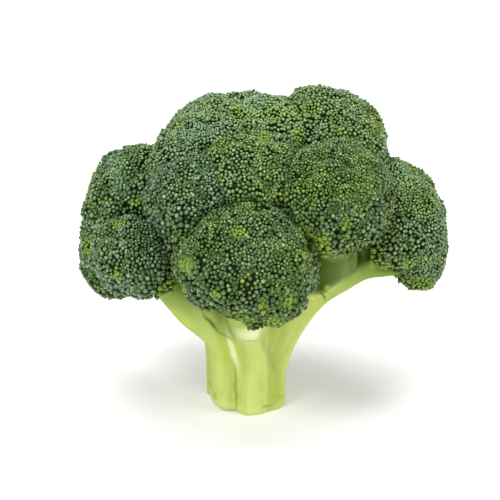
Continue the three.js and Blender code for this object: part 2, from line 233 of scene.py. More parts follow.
WALL_NEAR = 2.5  # from where on the neighbour's own dome counts too

# Branches: x, y, z and the radius there. Each ends inside the floret that it is named for.
BRANCHES = {
    "right": [
        (9.2, -4.5, -6, 8.3),
        (9.4, -4.5, 12, 8.3),
        (10.6, -4.5, 22, 8.4),
        (15.6, -4, 36, 9),
        (28, -3, 52.5, 8.6),
        (43, -1, 60.3, 7.2),
    ],
    "front": [(1.8, -9.8, -6, 8.4), (1.8, -9.8, 24, 8.4), (1, -15, 40, 8.5), (0, -25, 54, 8)],
    "front_left_low": [
        (-6.5, -7, -6, 8.6),
        (-7, -7, 22, 8.6),
        (-9.4, -9, 35, 8.5),
        (-22.2, -13.5, 48.5, 8.4),
    ],
    "left_low": [(-9.3, 1.5, -6, 8.2), (-9.5, 2, 24, 8.2), (-14, 6, 39, 8.2), (-25, 10, 50, 7.6)],
    "back_left": [(-5, 8, -6, 8.2), (-5, 8.5, 22, 8.2), (-9, 16, 42, 8)],
    "back": [(2, 9.3, -6, 8.2), (2, 9.5, 22, 8.2), (3, 17, 42, 8)],
    "back_right": [(7.7, 5, -6, 8.2), (8, 5.5, 22, 8.2), (14, 13, 42, 8)],
    "front_right": [(22, -3.5, 49, 8), (35, -6, 63, 7.8), (38, -13, 73, 6.6)],
    "left": [(-10, 3, 34, 8), (-20, 4, 60, 7)],
    "front_left": [(-3, -3, 46, 8), (-11, -17, 78, 6.5)],
    "middle": [(1, -4, 46, 8), (2, -13, 80, 6.5)],
    "top_right": [(5, 2, 46, 8), (18, 6, 82, 7)],
    "top_left": [(-3, -1, 48, 8), (-10, -5, 82, 6.5)],
    "top_back_left": [(-2, 4, 48, 8), (-7, 12, 82, 6.5)],
    "top": [(2, 1, 48, 8), (5, 3, 84, 6.5)],
    "top_back": [(3, 5, 48, 8), (9, 18, 80, 6.5)],
}
CORE = [(0, 0, -6, 13), (0, 0, 32, 13), (0, 0, 54, 12), (0, 0, 64, 8)]
FORK_DEPTH, FORK_RADIUS = 0.98, 5.6
BRANCH_END_DEPTH, BRANCH_END_RADIUS = 0.2, 4.2
STEMLET_COUNT = 5
STEMLET_RADII = (3.4, 2.9, 2.4)
STEMLET_BEND = (0.32, 0.62)  # outwards and below the floret's centre, shares of its radius
STEMLET_END = (0.56, 0.3)
FANNED_BELOW = 102.5
PEDICEL_COUNT = 26  # thin stems between the stemlets of a floret
PEDICEL_RADII = (1.5, 1.25, 1.0, 0.7)
PEDICEL_ANGLES = (112, 142)  # degrees from the floret's axis where they end
PEDICEL_DEPTH = 1.6  # how far below the dome

# The stub of a leaf and three small side stems on the branch to the right.
SIDE_STEMS = [
    [(25, -9, 54, 2.2), (31, -12.4, 55.8, 2.1), (35.5, -14.4, 57, 1.7)],
    [(46, -1, 61.5, 5.2), (57, -5, 62.6, 3.2), (66, -8, 62.6, 1.6)],
    [(41, -4, 59, 2.8), (46, -8, 66, 1.8), (46.5, -12, 75, 1.2)],
    [(50, -3, 63, 2.4), (54, -8, 68, 1.5), (53, -12, 75, 1.0)],
]

# How a taper is made: sides, spans between two of its points, and how wavy it is round.
CORE_TAPER = (40, 6, 0.01)
BRANCH_TAPER = (36, 8, 0.022)
STEMLET_TAPER = (16, 6, 0.03)
SIDE_STEM_TAPER = (14, 5, 0.04)
PEDICEL_TAPER = (5, 2, 0.05)
CORE_SEED = 99

STALK_VOXEL = 1.4
HOLLOW_GAIN = 5.4  # how much a hollow of one millimetre counts when creases are filled
RELAX_SHARES = (0.5, -0.52)  # there and back, so that the stalk keeps its size


# ---- Small sums ----


def unit(v):
    """Vectors of length one."""
    v = np.asarray(v, float)
    return v / np.linalg.norm(v, axis=-1, keepdims=True)


def smooth_step(low, high, x):
    """0 below low, 1 above high, and 3t^2 - 2t^3 between them."""
    t = np.clip((x - low) / (high - low), 0, 1)
    return t * t * (3 - 2 * t)


def smooth_min(a, b, width):
    """The lower of a and b, less (width - |a - b|)^2 / 4 width where they are that near."""
    near = np.clip(width - np.abs(a - b), 0, None) / width
    return np.minimum(a, b) - near * near * width / 4


def fibonacci_ball(count, turn):
    """Even directions: heights in equal steps, and each a golden angle round from the last."""
    i = np.arange(count) + 0.5
    z = 1 - 2 * i / count
    across = np.sqrt(1 - z * z)
    angle = i * math.pi * (3 - math.sqrt(5)) + turn
    return np.stack([across * np.cos(angle), across * np.sin(angle), z], 1)


def wander(points, size, seed):
    """Smooth noise of about -2 to 2: a sum of sine waves in random directions, `size` long."""
    rng = np.random.default_rng(seed)
    ways = unit(rng.normal(size=(WAVES, 3))) * rng.uniform(0.65, 1.35, (WAVES, 1))
    phases = rng.uniform(0, 2 * math.pi, WAVES)
    return np.sin(points @ ways.T * (2 * math.pi / size) + phases).sum(1) / math.sqrt(WAVES / 2)


def rounded_lobes(local, lobes, width, sharpness):
    """How near each direction is to a lobe's middle: 0.5 + ln(sum exp(-s (chord/width)^2)) / s."""
    square = 2 * (1 - local @ lobes.T) / width**2
    return 0.5 + np.log(np.exp(-sharpness * square).sum(1) + 1e-9) / sharpness


# ---- Shells: points, triangles and what is known of each ----


class Shell:
    """A mesh in millimetres: points, triangles, a material number for each triangle, 0 at first,
    and fields, which are named lists with a number or a vector for each point."""

    def __init__(self, points, triangles, **fields):
        self.points = np.asarray(points, float)
        self.triangles = np.asarray(triangles, np.int64)
        self.material = np.zeros(len(self.triangles), np.int32)
        self.fields = fields


def joined(shells):
    """One shell of several. A field that a shell lacks is 0 there."""
    starts = np.cumsum([0] + [len(s.points) for s in shells])
    made = Shell(
        np.vstack([s.points for s in shells]),
        np.vstack([s.triangles + start for s, start in zip(shells, starts)]),
    )
    made.material = np.concatenate([s.material for s in shells])
    for name in sorted({name for s in shells for name in s.fields}):
        width = max(np.ndim(s.fields[name]) for s in shells if name in s.fields)
        shape = () if width == 1 else (3,)
        made.fields[name] = np.concatenate(
            [s.fields.get(name, np.zeros((len(s.points), *shape))) for s in shells]
        )
    return made


def mesh_of(name, shell):
    """A Blender mesh, in metres, with the shell's fields as attributes of its points."""
    mesh = bpy.data.meshes.new(name)
    count = len(shell.triangles)
    mesh.vertices.add(len(shell.points))
    mesh.vertices.foreach_set("co", (shell.points * MM).ravel())
    mesh.loops.add(count * 3)
    mesh.loops.foreach_set("vertex_index", shell.triangles.ravel())
    mesh.polygons.add(count)
    mesh.polygons.foreach_set("loop_start", np.arange(count) * 3)
    mesh.polygons.foreach_set("material_index", shell.material)
    mesh.polygons.foreach_set("use_smooth", np.ones(count, bool))
    mesh.update(calc_edges=True)
    for field, values in shell.fields.items():
        kind, key = ("FLOAT", "value") if np.ndim(values) == 1 else ("FLOAT_VECTOR", "vector")
        made = mesh.attributes.new(field, kind, "POINT")
        made.data.foreach_set(key, np.asarray(values, np.float32).ravel())
    return mesh


def added(name, data):
    """An object in the scene, at the origin."""
    made = bpy.data.objects.new(name, data)
    bpy.context.scene.collection.objects.link(made)
    return made


def shown(name, shell, materials):
    """An object at the origin that shows the shell."""
    made = added(name, mesh_of(name, shell))
    for material in materials:
        made.data.materials.append(material)
    return made


def ring_triangles(rings, sides):
    """The triangles between `rings` closed rings of `sides` points each, facing outwards where
    the points go round to the left of the way from ring to ring."""
    ring, side = np.meshgrid(np.arange(rings - 1), np.arange(sides), indexing="ij")
    a = (ring * sides + side).ravel()
    b = (ring * sides + (side + 1) % sides).ravel()
    c, d = a + sides, b + sides
    return np.vstack([np.stack([a, b, d], 1), np.stack([a, d, c], 1)])


def fan(rim, tip):
    """The triangles from each edge of the ring of points `rim` to the point `tip`."""
    rim = np.asarray(rim)
    return np.stack([rim, np.roll(rim, -1), np.full(len(rim), tip)], 1)


def closed_rings(rings, sides):
    """The triangles between the rings, and a fan at either end to a tip: the tips are the two
    points after the rings', first the one before them and then the one beyond them."""
    first, last = np.arange(sides), np.arange(sides) + sides * (rings - 1)
    tip = rings * sides
    return np.vstack([ring_triangles(rings, sides), fan(first[::-1], tip), fan(last, tip + 1)])


# ---- Florets ----


class Floret:
    """A lobed dome about a centre, as the distance to its surface in any direction."""

    def __init__(self, index, name, row):
        self.index = index
        self.name = name
        self.centre = np.array(row["centre"], float)
        self.radius = float(row["radius"])
        self.stretch = row["stretch"]
        self.bulges = [(unit(way), height, width) for way, height, width in row.get("bulges", [])]
        out = unit(self.centre - (0, 0, HUB_HEIGHT))
        across = np.cross((0, 0, 1), out)
        across = unit(across - out * (across @ out))
        self.axes = np.stack([across, np.cross(out, across), out])
        self.lobes = fibonacci_ball(LOBE_COUNT, LOBE_TURN * index)
        rng = np.random.default_rng(SEED + index)
        cushions = fibonacci_ball(CUSHION_COUNT, LOBE_TURN * index + CUSHION_TURN)
        self.cushions = unit(cushions + rng.normal(0, CUSHION_SCATTER, cushions.shape))
        self.tuft_width = TUFT_WIDTH * TUFT_PITCH / self.radius
        count = round(TIPS_ON_UNIT_BALL * (self.radius / TUFT_PITCH) ** 2)
        tufts = fibonacci_ball(count, LOBE_TURN * index + TUFT_TURN)
        scatter = TUFT_SCATTER * TUFT_PITCH / self.radius
        self.tufts = unit(tufts + rng.normal(0, scatter, tufts.shape))
        self.fork = np.array(row.get("fork", self.under(0, 0, FORK_DEPTH)), float)
        self.walls = []

    def meet(self, others):
        """Finds the flat wall between this floret and each other one: its direction and distance,
        whether it is soft, and the other floret."""
        for other in others:
            if other is self:
                continue
            between = other.centre - self.centre
            apart = np.linalg.norm(between)
            square = apart**2 + self.radius**2 - other.radius**2
            soft = {self.name, other.name} in SOFT_PAIRS
            distance = square / (2 * apart) - FLORET_GAP / 2
            self.walls.append((between / apart, distance, soft, other))

    def under(self, turn, outwards, below):
        """A point under the floret, in shares of its radius from its axis and its centre."""
        aside = outwards * np.array([math.cos(turn), math.sin(turn), 0])
        return self.centre + self.radius * ((aside - (0, 0, below)) @ self.axes)

    def polar(self, ways):
        """Degrees from the floret's own axis."""
        return np.degrees(np.arccos(np.clip(ways @ self.axes[2], -1, 1)))

    def cushion_height(self, ways):
        """The small cushions that each floret's surface is made of, about -0.5 to 0.5."""
        return rounded_lobes(ways @ self.axes.T, self.cushions, CUSHION_WIDTH, CUSHION_SHARPNESS)

    def tuft_height(self, ways):
        """The tufts of ten or so buds that the cushions are made of, about -0.2 to 0.5."""
        return rounded_lobes(ways @ self.axes.T, self.tufts, self.tuft_width, TUFT_SHARPNESS)

    def dome(self, ways):
        """radius / |(x/across, y/up, z/out)|, plus lobes, cushions, tufts and bulges, turned in
        below the rim by a share that grows smoothly between the two rim angles."""
        local = ways @ self.axes.T
        across, up, out = self.stretch
        below = np.where(local[:, 2] > 0, out, UNDERSIDE)
        r = self.radius / np.linalg.norm(local / np.stack(
            [np.full(len(ways), across), np.full(len(ways), up), below], 1), axis=1)
        under = smooth_step(*RIM_ANGLES, self.polar(ways))
        lobes = rounded_lobes(local, self.lobes, LOBE_WIDTH, LOBE_SHARPNESS)
        relief = LOBE_HEIGHT * lobes + CUSHION_HEIGHT * self.cushion_height(ways)
        r += (relief + TUFT_HEIGHT * self.tuft_height(ways)) * (1 - under)
        rim = smooth_step(*RAGGED_ANGLES, self.polar(ways)) * (1 - under)
        r += RAGGED_HEIGHT * rim * wander(ways, RAGGED_LENGTH, SEED + 50 + self.index)
        for way, height, width in self.bulges:
            angle = np.arccos(np.clip(ways @ way, -1, 1)) / width
            r += height * np.exp(-angle * angle)
        return r * (1 - UNDERSIDE_DEPTH * under)

    def surface(self, ways, relief):
        """The dome plus `relief`, and SOFT_RISE exp(-(short / reach)^2) where it stops short of a
        soft wall, kept behind every wall by a smooth minimum."""
        r = self.dome(ways)
        swell = np.zeros(len(ways))
        for way, distance, soft, _ in self.walls:
            if soft:
                short = np.clip(distance - r * (ways @ way), 0, None) / SOFT_REACH
                swell = np.maximum(swell, SOFT_RISE * np.exp(-short * short))
        r = r + swell + relief
        for way, distance, soft, _ in self.walls:
            facing = ways @ way
            wall = np.where(facing > GRAZING, distance / np.maximum(facing, GRAZING), 1e4)
            r = smooth_min(r, wall, SOFT_CREASE if soft else CREASE)
        return r

    def points(self, ways, relief):
        """Where the surface is, in the head's own frame."""
        return self.centre + ways * self.surface(ways, relief)[:, None]

    def normals(self, ways, relief):
        """The surface's normals, from a short step to either side in two ways across each
        direction. The first way is also at right angles to a slanting line of the floret's."""
        side = unit(np.cross(ways, self.axes[0] + 0.31 * self.axes[1] + 0.17 * self.axes[2]))
        other = np.cross(ways, side)
        steps = (s * NORMAL_STEP * v for v in (side, other) for s in (1, -1))
        here = [self.points(unit(ways + step), relief) for step in steps]
        normal = unit(np.cross(here[0] - here[1], here[2] - here[3]))
        return normal * np.sign((normal * ways).sum(1))[:, None]

    def room(self, points, normals):
        """How far each point may go along its normal before it meets a neighbour's wall, or
        passes a soft one by SOFT_PASS. Where the neighbour's dome lies back from the wall, the
        buds may cross it as far as that dome's own."""
        free = np.full(len(points), 1e3)
        for way, distance, soft, other in self.walls:
            facing = normals @ way
            gap = distance + SOFT_PASS * soft - (points - self.centre) @ way
            near = np.flatnonzero((facing > WALL_FACING) & (gap < WALL_NEAR))
            if len(near):
                between = points[near] - other.centre
                apart = np.linalg.norm(between, axis=1)
                open_gap = apart - other.surface(between / apart[:, None], BUD_TIP)
                gap[near] = np.maximum(gap[near], open_gap)
            left = gap / np.maximum(facing, WALL_FACING)
            free = np.where(facing > WALL_FACING, np.minimum(free, left), free)
        return free

    def pitch(self, ways):
        """The room that a bud takes, from the least to the most: 0.35 of the way with the angle
        from the axis, 0.65 with how far the direction falls from upwards, 0.4 taken back below,
        and a little more or less from tuft to tuft."""
        polar, upwards = self.polar(ways), ways[:, 2]
        grown = 0.35 * smooth_step(30, 115, polar) + 0.65 * smooth_step(0.7, -0.4, upwards)
        grown -= 0.4 * smooth_step(-0.4, -0.85, upwards)
        low, high = BUD_PITCH_SHARES
        tufts = 0.035 * wander(ways, 0.9, SEED + 100 + self.index)
        tufts += 0.045 * wander(ways, 0.24, SEED + 150 + self.index)
        return BUD_PITCH * CLOSENESS.get(self.name, 1) * (low + (high - low) * grown + tufts)

    def limit(self, ways):
        """The uneven edge of the buds, in degrees from the axis."""
        return BUD_LIMIT + BUD_LIMIT_SPREAD * wander(ways, 0.45, SEED + 200 + self.index)

    def bud_ways(self):
        """Directions for the buds, and their sizes beside the usual: as many as the open surface
        has room for, pushed apart, and one more in every hole that is left."""
        ways = fibonacci_ball(SAMPLES, self.index)
        normals = self.normals(ways, -BUD_ROOT)
        points = self.points(ways, -BUD_ROOT)
        room = self.room(points, normals)
        open_to_light = (self.polar(ways) < self.limit(ways)) & (room > LEAST_ROOM)
        slant = np.maximum((normals * ways).sum(1), STEEPEST)
        area = self.surface(ways, -BUD_ROOT) ** 2 * (4 * math.pi / SAMPLES) / slant
        share = BUD_CROWDING * open_to_light * area / (BUD_CELL * self.pitch(ways) ** 2)
        chosen = np.flatnonzero(np.diff(np.floor(np.cumsum(share)), prepend=0) > 0)
        rng = np.random.default_rng(SEED + 300 + self.index)
        sizes = rng.uniform(*BUD_SIZES, len(chosen))
        started = unit(ways[chosen] + rng.normal(0, 0.01, (len(chosen), 3)))
        return self.filled(self.pushed_apart(started, sizes), sizes, ways[open_to_light][::2])

    def pushed_apart(self, ways, sizes):
        """Moves each point from every neighbour that is nearer than the pitch, by a share of what
        is missing, and puts it back on the surface. Repeats this a few times."""
        for _ in range(SETTLE_ROUNDS):
            spots = (ways * self.surface(ways, -BUD_ROOT)[:, None]).astype(np.float32)
            square = (spots**2).sum(1)
            apart = np.sqrt(np.maximum(square[:, None] + square - 2 * spots @ spots.T, 1e-4))
            pitch = (self.pitch(ways) * sizes).astype(np.float32)
            wanted = SETTLE_REACH * (pitch[:, None] + pitch)
            push = np.clip(wanted / apart - 1, 0, SETTLE_LIMIT)
            np.fill_diagonal(push, 0)
            ways = unit(spots + SETTLE_PUSH * (spots * push.sum(1)[:, None] - push @ spots))
        return ways

    def filled(self, ways, sizes, places):
        """Adds a small bud at the one of the `places` that is furthest from every bud, counted in
        pitches, again and again until none is further than BUD_HOLE."""
        spots = self.points(places, -BUD_ROOT)
        buds = self.points(ways, -BUD_ROOT)
        square = (spots**2).sum(1)[:, None] + (buds**2).sum(1) - 2 * spots @ buds.T
        far = np.sqrt(np.maximum(square.min(1), 0))
        pitch = self.pitch(places)
        extra = []
        while (far / pitch).max() > BUD_HOLE:
            extra.append((far / pitch).argmax())
            far = np.minimum(far, np.linalg.norm(spots - spots[extra[-1]], axis=1))
        small = np.full(len(extra), ADDED_BUD_SIZE)
        return np.vstack([ways, places[extra]]), np.append(sizes, small)


florets = [Floret(i, name, row) for i, (name, row) in enumerate(FLORETS.items())]
for floret in florets:
    floret.meet(florets)


# ---- Buds and the domes that they stand on ----


def bud_form():
    """One bud: rings of BUD_RINGS, each turned half a side from the last, and a tip.
    Gives its points with half-width 1 and height 1, and its triangles."""
    rows = []
    triangles = [(0, i + 1, i) for i in range(1, BUD_SIDES - 1)]
    for k, (width, height) in enumerate(BUD_RINGS):
        angle = (np.arange(BUD_SIDES) + 0.5 * (k % 2)) * 2 * math.pi / BUD_SIDES
        ring = [width * np.cos(angle), width * np.sin(angle), np.full(BUD_SIDES, height)]
        rows.append(np.stack(ring, 1))
    for k in range(len(BUD_RINGS) - 1):
        for i in range(BUD_SIDES):
            a, b = k * BUD_SIDES + i, k * BUD_SIDES + (i + 1) % BUD_SIDES
            c, d = a + BUD_SIDES, b + BUD_SIDES
            triangles += [(a, d, c), (a, b, d)] if k % 2 else [(a, b, c), (b, d, c)]
    tip = BUD_SIDES * len(BUD_RINGS)
    last = np.arange(tip - BUD_SIDES, tip)
    points = np.vstack([*rows, [(0, 0, 1)]])
    return points, np.vstack([triangles, fan(last, tip)])


BUD_POINTS, BUD_TRIANGLES = bud_form()


def youth_of(floret, ways, points, room, tufts):
    """How yellow the buds are, 0 to 1: in the young patches, in specks, in tufts round the rim,
    between tufts and in the creases."""
    young = np.zeros(len(points))
    for middle, radius in YOUNG_PATCHES:
        far = np.linalg.norm(points - middle, axis=1) / radius
        young = np.maximum(young, smooth_step(1.5, 0.4, far + 0.2 * wander(points, 4, SEED + 400)))
    specks = smooth_step(1.2, 2.4, wander(points, 5.5, SEED + 401))
    rim = smooth_step(92, 120, floret.polar(ways))
    rim *= smooth_step(-0.8, 1.4, wander(points, 8, SEED + 402))
    crease = 1 - smooth_step(0.8, 3, room)
    between = smooth_step(0.05, -0.2, tufts)
    return np.clip(0.9 * young + 0.4 * specks + 0.7 * rim + 0.25 * crease + 0.2 * between, 0, 1)


def buds_of(floret):
    """All the buds of a floret. Each is the bud form, as wide as its room allows, along the
    surface's normal with a small lean of its own, and lower where a neighbour presses on it."""
    rng = np.random.default_rng(SEED + 500 + floret.index)
    ways, sizes = floret.bud_ways()
    inside = floret.polar(ways) < floret.limit(ways) + 3
    ways, sizes = ways[inside], sizes[inside]
    normals = floret.normals(ways, -BUD_ROOT)
    points = floret.points(ways, -BUD_ROOT)
    room = floret.room(points, normals)
    keep = room > LEAST_ROOM
    ways, sizes, normals, points, room = (a[keep] for a in (ways, sizes, normals, points, room))
    count = len(ways)

    axis = unit(0.8 * normals + 0.25 * ways + rng.normal(0, BUD_LEAN, (count, 3)))
    side = unit(np.cross(axis, rng.normal(size=(count, 3))))
    other = np.cross(axis, side)
    pitch = floret.pitch(ways) * sizes
    proud = rng.uniform(0.8, 1.12, count) + 0.35 * (rng.random(count) < 0.08)
    rim = smooth_step(100, 120, floret.polar(ways))
    proud += rim * np.where(rng.random(count) < 0.2, rng.uniform(0.3, 1.0, count), 0)
    nominal = (BUD_ROOT + BUD_TIP) * (pitch / BUD_PITCH) ** 0.5 * proud
    height = np.minimum(nominal, 0.97 * room)
    width = BUD_WIDTH * pitch * rng.uniform(0.84, 1.1, count) * (0.6 + 0.4 * height / nominal)
    frames = np.stack([side * width[:, None], other * width[:, None], axis * height[:, None]], 1)
    placed = points[:, None] + BUD_POINTS @ frames

    # Each bud's tone and painted light: the floret's painted light, and a random tone of the bud's
    # own.
    tone_and_light = PAINTED_LIGHT.get(floret.name, USUAL_PAINTED_LIGHT) + 0.2 * rng.normal(size=count)
    # About one bud in eleven gets a much lighter tip, partly a waxier bloom and partly a painted
    # highlight.
    tone_and_light += 0.1 * wander(points, 5, SEED + 403) + 0.6 * (rng.random(count) < 0.09)
    tufts = floret.tuft_height(ways)
    # Painted shade: the buds in the creases between the tufts are darker.
    tone_and_light -= 0.3 * smooth_step(0.1, -0.2, tufts)
    bloom = BLOOM.get(floret.name, USUAL_BLOOM) + 0.16 * wander(points, 22, SEED + 404)
    each = len(BUD_POINTS)
    fields = {
        "bud_height": np.tile(BUD_POINTS[:, 2], count),
        "bud_tone": np.repeat(tone_and_light, each),
        "bud_bloom": np.repeat(bloom + 0.12 * rng.normal(size=count), each),
        "bud_youth": np.repeat(youth_of(floret, ways, points, room, tufts), each),
    }
    triangles = BUD_TRIANGLES + (np.arange(count) * each)[:, None, None]
    return Shell(placed.reshape(-1, 3), triangles.reshape(-1, 3), **fields)


CORE_RINGS, CORE_SIDES = 24, 60


def core_of(floret):
    """What the buds stand on: the dome less the depth of a bud's root, on a grid of polar angle and
    turn. Above the rim it takes the buds' painted shade; below the rim it is the pale underside,
    ridged where the small stems run."""
    polar = np.linspace(0, math.pi, CORE_RINGS + 1)[1:-1]
    turn = np.arange(CORE_SIDES) * 2 * math.pi / CORE_SIDES
    polar, turn = (grid.ravel() for grid in np.meshgrid(polar, turn, indexing="ij"))
    local = np.stack([np.sin(polar) * np.cos(turn), np.sin(polar) * np.sin(turn), np.cos(polar)], 1)
    local = np.vstack([local, [(0, 0, 1), (0, 0, -1)]])
    ways = local @ floret.axes
    under = smooth_step(BUD_LIMIT - 4, BUD_LIMIT + 12, floret.polar(ways))
    turn = np.append(turn, (0, 0))
    ridges = np.abs(np.sin(turn * 10 + 1.3 * wander(ways, 1.1, SEED + 600 + floret.index)))
    points = floret.points(ways, -BUD_ROOT - under * (0.3 + 0.9 * ridges))
    triangles = closed_rings(CORE_RINGS - 1, CORE_SIDES)[:, ::-1]
    fields = {
        # At 0.16 the dome between the buds is in the buds' painted shade, near black-green.
        "bud_height": 0.16 + under * 0.5,
        "bud_tone": np.full(len(points), 0.4),
        "bud_bloom": np.full(len(points), 0.2),
        "bud_youth": np.clip(under * (1 - 0.35 * ridges), 0, 1),
    }
    return Shell(points, triangles, **fields)


# ---- The stalk ----


def smooth_line(points, steps):
    """A Catmull-Rom line through the points, with `steps` spans between each two. The fourth
    column is the radius, which goes straight from point to point."""
    points = np.array(points, float)
    padded = np.vstack([2 * points[0] - points[1], points, 2 * points[-1] - points[-2]])
    t = np.linspace(0, 1, steps, endpoint=False)[:, None]
    pieces = []
    for a, b, c, d in zip(padded, padded[1:], padded[2:], padded[3:]):
        piece = 0.5 * (2 * b + (c - a) * t + (2 * a - 5 * b + 4 * c - d) * t**2
                       + (3 * b - a - 3 * c + d) * t**3)
        piece[:, 3] = (b + (c - b) * t)[:, 3]
        pieces.append(piece)
    return np.vstack([*pieces, points[-1:]])


def line_axes(line):
    """For each point of a line: the way along it and two ways across it that don't twist."""
    along = unit(np.gradient(line[:, :3], axis=0))
    between = line[-1, :3] - line[0, :3]
    level = np.array([-between[1], between[0], 0.0])
    sideways = unit(level) if np.linalg.norm(level) > 1 else np.array([1.0, 0, 0])
    a = unit(sideways - along * (along @ sideways)[:, None])
    return along, a, np.cross(along, a)


def taper(points, sides, steps, ridge, seed):
    """A closed round taper: a ring of `sides` points about each point of the smooth line, as wide
    as the radius there times 1 + ridge * (a few waves round it), with a fan at either end."""
    line = smooth_line(points, steps)
    _, a, b = line_axes(line)
    rng = np.random.default_rng(SEED + 700 + seed)
    turn = np.arange(sides) * 2 * math.pi / sides
    shape = sum(np.cos(k * turn + rng.uniform(0, 6)) / k**0.5 for k in (2, 3, 5, 8))
    reach = line[:, 3, None] * (1 + ridge * shape)
    rings = line[:, None, :3] + reach[..., None] * (
        np.cos(turn)[None, :, None] * a[:, None] + np.sin(turn)[None, :, None] * b[:, None]
    )
    made = np.vstack([rings.reshape(-1, 3), line[:1, :3], line[-1:, :3]])
    return Shell(made, closed_rings(len(line), sides))


def branch_line(floret):
    """The points of a floret's branch: its own, then its fork, then its end in the dome."""
    end = floret.under(0, 0, BRANCH_END_DEPTH)
    return [*BRANCHES[floret.name], (*floret.fork, FORK_RADIUS), (*end, BRANCH_END_RADIUS)]


def stemlet_lines(floret):
    """The stout stems that fan out of a fork."""
    if floret.centre[2] >= FANNED_BELOW:
        return []
    lines = []
    for k in range(STEMLET_COUNT):
        turn = 2 * math.pi * (k + 0.3) / STEMLET_COUNT
        ends = [floret.fork, floret.under(turn, *STEMLET_BEND), floret.under(turn, *STEMLET_END)]
        lines.append([(*point, r) for point, r in zip(ends, STEMLET_RADII)])
    return lines


def pedicels_of(floret):
    """The thin stems from a fork to the rim of the buds, spread evenly round the underside with
    a random turn, length and sag each."""
    rng = np.random.default_rng(SEED + 800 + floret.index)
    made = []
    for k in range(PEDICEL_COUNT):
        turn = 2 * math.pi * (k + rng.uniform(-0.35, 0.35)) / PEDICEL_COUNT
        polar = math.radians(rng.uniform(*PEDICEL_ANGLES))
        flat = math.sin(polar) * np.array([math.cos(turn), math.sin(turn), 0])
        way = (flat + (0, 0, math.cos(polar))) @ floret.axes
        end = floret.points(way[None], -PEDICEL_DEPTH)[0]
        start = floret.fork * 0.75 + floret.centre * 0.25
        middle = start * 0.55 + end * 0.45 - floret.axes[2] * rng.uniform(1.0, 3.5)
        nearly = start * 0.2 + end * 0.8 - floret.axes[2] * rng.uniform(0.3, 1.6)
        line = [(*point, r) for point, r in zip((start, middle, nearly, end), PEDICEL_RADII)]
        made.append(taper(line, *PEDICEL_TAPER, k))
    return made


def remeshed(shell, voxel):
    """The shell's overlapping pieces as one skin of even faces, by a voxel remesh."""
    source = shown("joined_tapers", shell, [])
    step = source.modifiers.new("join", "REMESH")
    step.mode = "VOXEL"
    step.voxel_size = voxel * MM
    ready = source.evaluated_get(bpy.context.evaluated_depsgraph_get())
    mesh = bpy.data.meshes.new_from_object(ready)
    points = np.empty(len(mesh.vertices) * 3)
    mesh.vertices.foreach_get("co", points)
    mesh.calc_loop_triangles()
    triangles = np.empty(len(mesh.loop_triangles) * 3, np.int32)
    mesh.loop_triangles.foreach_get("vertices", triangles)
    bpy.data.objects.remove(source)
    bpy.data.meshes.remove(mesh)
    return Shell(points.reshape(-1, 3) / MM, triangles.reshape(-1, 3))


class Skin:
    """Smoothing over a shell's edges."""

    def __init__(self, shell):
        self.shell = shell
        t = shell.triangles
        edges = np.sort(np.vstack([t[:, [0, 1]], t[:, [1, 2]], t[:, [2, 0]]]), 1)
        self.edges = np.unique(edges, axis=0)
        self.degree = np.bincount(self.edges.ravel(), minlength=len(shell.points))

    def mean(self, values):
        """The mean over each point's neighbours."""
        a, b = self.edges.T
        count = len(self.degree)
        columns = values.reshape(count, -1).T
        sums = [np.bincount(a, c[b], count) + np.bincount(b, c[a], count) for c in columns]
        return (np.array(sums) / np.maximum(self.degree, 1)).T.reshape(values.shape)

    def smoothed(self, values, rounds):
        """The values after `rounds` of going half way to the neighbours' mean."""
        for _ in range(rounds):
            values = 0.5 * values + 0.5 * self.mean(values)
        return values

    def relax(self, rounds):
        """Smooths the points and then puts most of the lost size back, again and again."""
        for _ in range(rounds):
            for share in RELAX_SHARES:
                here = self.shell.points
                self.shell.points = here + share * (self.mean(here) - here)

    def fill_creases(self, rounds, weight):
        """Moves only the points in a hollow, outwards, towards their neighbours' mean."""
        for _ in range(rounds):
            here = self.shell.points
            pull = self.mean(here) - here
            hollow = np.clip((pull * self.normals()).sum(1) * HOLLOW_GAIN, 0, 1) * weight
            self.shell.points = here + 0.6 * self.smoothed(hollow, 1)[:, None] * pull

    def normals(self):
        """The points' normals, from the triangles round each."""
        points, t = self.shell.points, self.shell.triangles
        flat = np.cross(points[t[:, 1]] - points[t[:, 0]], points[t[:, 2]] - points[t[:, 0]])
        count = len(points)
        sums = [sum(np.bincount(t[:, k], way, count) for k in range(3)) for way in flat.T]
        return unit(np.array(sums).T + 1e-12)


def fibre_place(points, lines):
    """Each point's place along the branch whose skin is nearest: how far it lies to the sides of
    the branch's line, and along it. Fibres follow these numbers from the cut end to the florets."""
    best = np.full(len(points), 1e3)
    place = np.zeros((len(points), 3))
    share = np.zeros(len(points))
    for number, line in enumerate(lines):
        along, a, b = line_axes(line)
        length = np.append(0, np.cumsum(np.linalg.norm(np.diff(line[:, :3], axis=0), axis=1)))
        for low in range(0, len(points), 8000):
            some = slice(low, low + 8000)
            offset = points[some, None] - line[None, :, :3]
            distance = np.linalg.norm(offset, axis=2)
            k = (distance - line[:, 3]).argmin(1)
            rows = np.arange(len(k))
            depth = distance[rows, k] - line[k, 3]
            nearer = depth < best[some]
            chosen = offset[rows, k]
            spot = np.stack([(chosen * way[k]).sum(1) for way in (a, b, along)], 1)
            spot[:, 2] = length[k] + spot[:, 2]
            best[some] = np.where(nearer, depth, best[some])
            place[some] = np.where(nearer[:, None], spot + (37.0 * number, 0, 0), place[some])
            share[some] = np.where(nearer, length[k] / length[-1], share[some])
    return place, share


